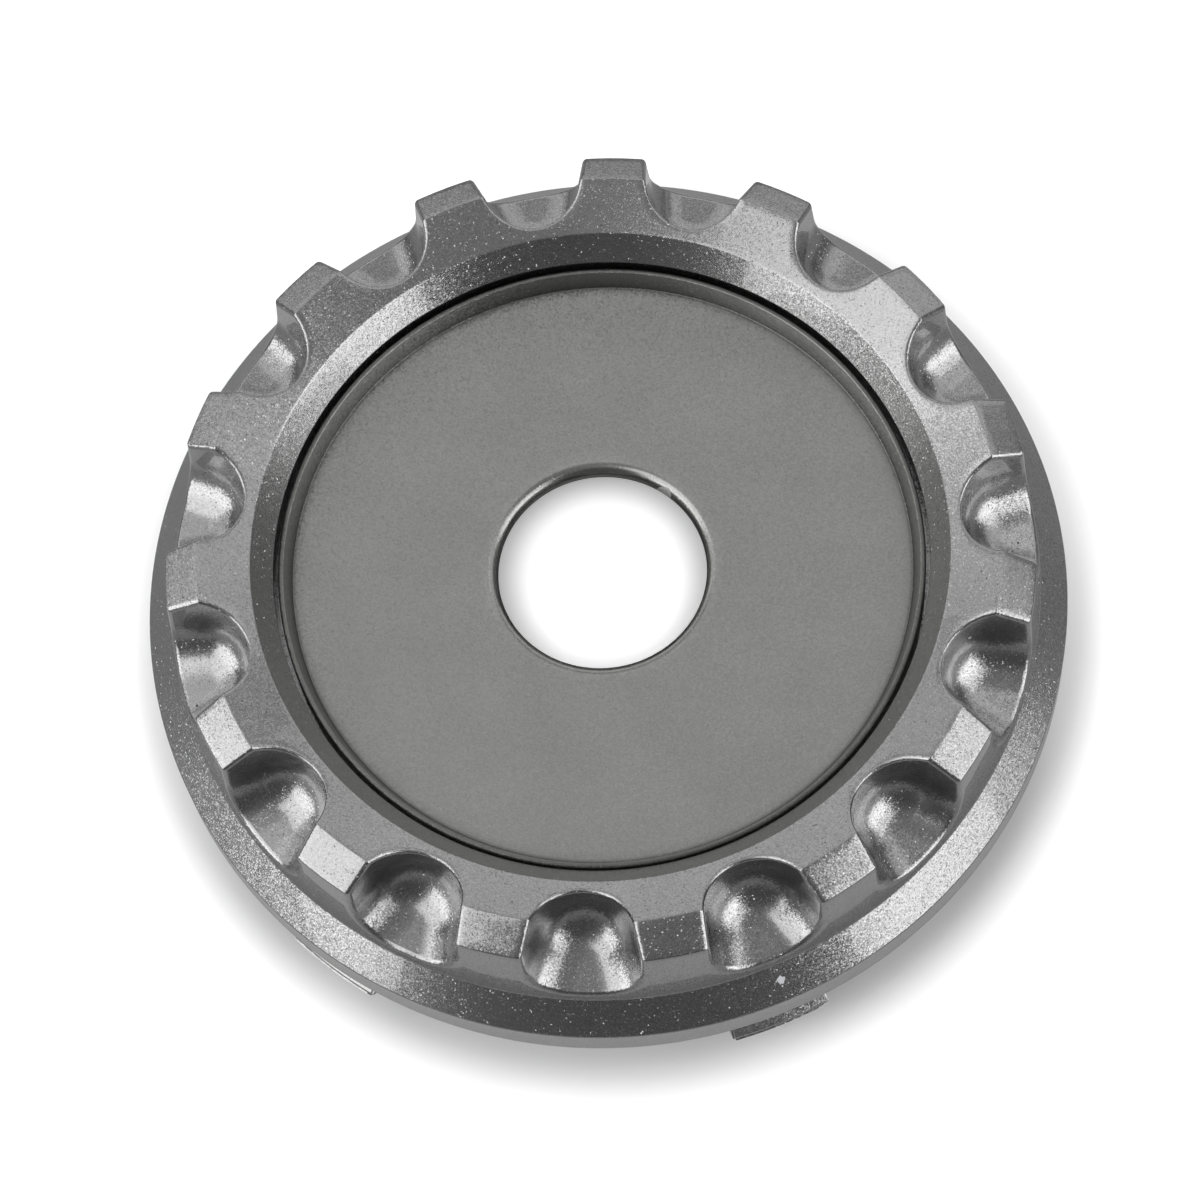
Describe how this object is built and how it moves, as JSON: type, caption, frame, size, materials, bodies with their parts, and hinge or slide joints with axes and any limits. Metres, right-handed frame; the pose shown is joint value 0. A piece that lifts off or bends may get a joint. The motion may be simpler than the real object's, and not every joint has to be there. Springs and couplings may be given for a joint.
{
  "type": "wheel center cap",
  "caption": "Round snap-in wheel center cap: a toothed silver ring around a recessed plate with a center hole, on barbed legs with a wire ring.",
  "frame": {"origin": "middle of the circle on which the tips of the snap legs stand", "axes": "+Z along the cap's axis, out of its visible face; +Y through the middle of one tooth"},
  "size_m": [0.075, 0.075, 0.024],
  "materials": {
    "silver_paint": "metallic silver-grey paint on moulded plastic",
    "plate_paint": "satin fine-flake grey paint on moulded plastic",
    "spring_steel": "drawn spring wire"
  },
  "bodies": {
    "root": {"cap_body": "silver_paint", "badge_plate": "plate_paint", "retaining_ring": "spring_steel"}
  },
  "joints": []
}
